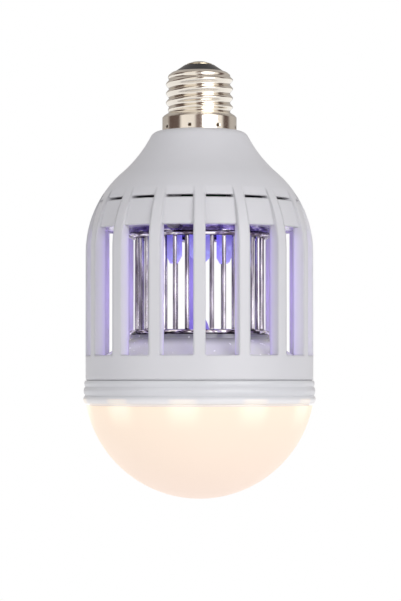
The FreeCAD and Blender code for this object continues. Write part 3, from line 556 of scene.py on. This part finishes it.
def studio():
    """White surround, with the darker gaps between its panels seen in gloss."""
    world = bpy.data.worlds.new("studio")
    bpy.context.scene.world = world
    nodes = Nodes(world)
    output = nodes.add("ShaderNodeOutputWorld")
    x, y, z = nodes.axes(nodes.add("ShaderNodeTexCoord").outputs["Generated"])
    around = nodes.math("ARCTAN2", x, nodes.product(y, -1.0))
    stops = [((turn + 180) / 360, colour) for turn, colour in PANELS]
    panels = nodes.ramp(nodes.climb(around, -math.pi, math.pi), stops)
    soft = nodes.made("ShaderNodeBackground", Color=WORLD_COLOUR, Strength=WORLD_LEVEL)
    shiny = nodes.made("ShaderNodeBackground", Color=panels)
    white = nodes.made("ShaderNodeBackground", Color=WHITE)
    lit = nodes.mix_shaders(nodes.seen_by("Is Glossy Ray"), soft, shiny)
    seen = nodes.mix_shaders(nodes.seen_by("Is Camera Ray", "Is Transmission Ray"), lit, white)
    nodes.feed(output.inputs["Surface"], seen)


def floor():
    """Pale floor below the hanging bulb, near white where it is looked at, and clear from below."""
    material = bpy.data.materials.new("pale_floor")
    nodes = Nodes(material)
    output = nodes.add("ShaderNodeOutputMaterial")
    pale = nodes.made("ShaderNodeBsdfDiffuse", Color=FLOOR_COLOUR)
    white = nodes.made("ShaderNodeEmission", Color=WHITE)
    away = nodes.add("ShaderNodeVectorMath", operation="LENGTH")
    nodes.feed(away.inputs[0], nodes.add("ShaderNodeTexCoord").outputs["Object"])
    level = nodes.climb(away.outputs["Value"], NEAR_FLOOR, FAR_FLOOR, to_low=FLOOR_WHITE)
    looked_at = nodes.seen_by("Is Camera Ray", "Is Glossy Ray", "Is Transmission Ray")
    above = nodes.mix_shaders(nodes.product(looked_at, level), pale, white)
    underside = nodes.add("ShaderNodeNewGeometry").outputs["Backfacing"]
    clear = nodes.made("ShaderNodeBsdfTransparent")
    nodes.feed(output.inputs["Surface"], nodes.mix_shaders(underside, above, clear))
    bpy.ops.mesh.primitive_plane_add(size=FLOOR_WIDE, location=(0, 0, foot("diffuser_dome") - FLOOR_BELOW))
    plane = bpy.context.object
    plane.name = "floor"
    plane.data.materials.append(material)


def set_up(thing, place, target):
    """Put a lamp or camera in its place, looking at a point."""
    bpy.context.scene.collection.objects.link(thing)
    thing.location = place
    thing.rotation_euler = (Vector(target) - Vector(place)).to_track_quat("-Z", "Y").to_euler()


def studio_lamps():
    for name, place, aim, width, power, in_gloss in LAMPS:
        data = bpy.data.lights.new(name, "AREA")
        data.shape = "DISK"
        data.size = width
        data.energy = power
        thing = bpy.data.objects.new(name, data)
        thing.visible_glossy = in_gloss
        set_up(thing, place, (0, 0, aim))


def violet_glow():
    """Small lamps inside the grid, which tint the cage from inside."""
    for number in range(GLOW_LAMPS):
        angle = 2 * math.pi * (number + GLOW_START) / GLOW_LAMPS
        data = bpy.data.lights.new(f"violet_glow_{number}", "POINT")
        data.energy = GLOW_POWER
        data.color = GLOW_COLOUR
        data.shadow_soft_size = GLOW_SIZE
        thing = bpy.data.objects.new(data.name, data)
        thing.visible_glossy = False
        thing.visible_camera = False
        thing.location = (GLOW_RADIUS * math.cos(angle), GLOW_RADIUS * math.sin(angle), GLOW_HEIGHT)
        bpy.context.scene.collection.objects.link(thing)


def camera():
    data = bpy.data.cameras.new("camera")
    data.sensor_width = SENSOR
    data.lens = SENSOR * FOCAL_PIXELS / PICTURE_HIGH
    data.clip_start = NEAREST_SEEN
    thing = bpy.data.objects.new("camera", data)
    set_up(thing, (AXIS_SHIFT, -VIEW_DISTANCE, EYE_HEIGHT), (AXIS_SHIFT, 0, AIM_HEIGHT))
    bpy.context.scene.camera = thing


def stake_depth(angle, z):
    """How deep the nearest punch mark dents the skirt at an angle and height."""
    step = 2 * math.pi / STAKES
    off = angle - math.radians(STAKE_TURN)
    aside = (off - round(off / step) * step) * SKIRT_RADIUS
    away = math.hypot(aside, z - STAKE_UP)
    return STAKE_DEPTH * max(0, 1 - (away / STAKE_RADIUS) ** 2)


def thread_radius(angle, z):
    """Radius over the right-hand thread at an angle and height."""
    phase = (z - THREAD_FOOT) / PITCH - angle / (2 * math.pi)
    wave = 0.5 - 0.5 * math.cos(2 * math.pi * phase)
    starts = min(max((z - THREAD_FOOT) / THREAD_FADE, 0), 1)
    ends = min(max((THREAD_TOP - z) / THREAD_FADE, 0), 1)
    return ROOT_RADIUS + (CREST_RADIUS - ROOT_RADIUS) * wave * starts * ends


def cap_section(angle):
    """Radius and height of the sheet's points at an angle, from the skirt's foot up to the lip."""
    straight = SKIRT_HIGH - SKIRT_ROUND
    edge = SKIRT_RADIUS - SKIRT_ROUND
    points = [(SKIRT_RADIUS - SHEET, 0)]
    for row in range(SKIRT_ROWS + 1):
        z = straight * row / SKIRT_ROWS
        points.append((SKIRT_RADIUS - stake_depth(angle, z), z))
    for row in range(ROUND_ROWS + 1):
        turn = math.pi / 2 * row / ROUND_ROWS
        points.append((edge + SKIRT_ROUND * math.cos(turn), straight + SKIRT_ROUND * math.sin(turn)))
    for row in range(1, SHOULDER_ROWS + 1):
        part = row / SHOULDER_ROWS
        ease = part * part * (3 - 2 * part)
        points.append((edge + (ROOT_RADIUS - edge) * ease, SKIRT_HIGH + SHOULDER_HIGH * part))
    for row in range(1, THREAD_ROWS + 1):
        z = THREAD_FOOT + (THREAD_TOP - THREAD_FOOT) * row / THREAD_ROWS
        points.append((thread_radius(angle, z), z))
    for row in range(1, LIP_ROWS + 1):
        part = row / LIP_ROWS
        rise = LIP_RISE * math.sin(part * math.pi / 2)
        points.append((ROOT_RADIUS + (LIP_RADIUS - ROOT_RADIUS) * part, THREAD_TOP + rise))
    points.append((LIP_RADIUS, THREAD_TOP + LIP_RISE - SHEET))
    return points


def threaded_shell():
    """The cap's sheet metal with its rolled right-hand thread and punch marks."""
    mesh = bmesh.new()
    columns = []
    for number in range(AROUND):
        angle = 2 * math.pi * number / AROUND
        across, along = math.cos(angle), math.sin(angle)
        columns.append([mesh.verts.new((r * across, r * along, z)) for r, z in cap_section(angle)])
    for left, right in zip(columns, columns[1:] + columns[:1]):
        for row in range(len(left) - 1):
            face = mesh.faces.new((left[row], right[row], right[row + 1], left[row + 1]))
            face.smooth = True
    data = bpy.data.meshes.new("threaded_shell")
    mesh.to_mesh(data)
    mesh.free()
    data.materials.append(nickel("rolled_nickel"))
    thing = bpy.data.objects.new("threaded_shell", data)
    bpy.context.scene.collection.objects.link(thing)
    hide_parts("screw_shell")
    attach(thing, "root")


dress_model()
studio()
floor()
studio_lamps()
violet_glow()
camera()
threaded_shell()

bpy.context.scene.view_settings.view_transform = "Standard"
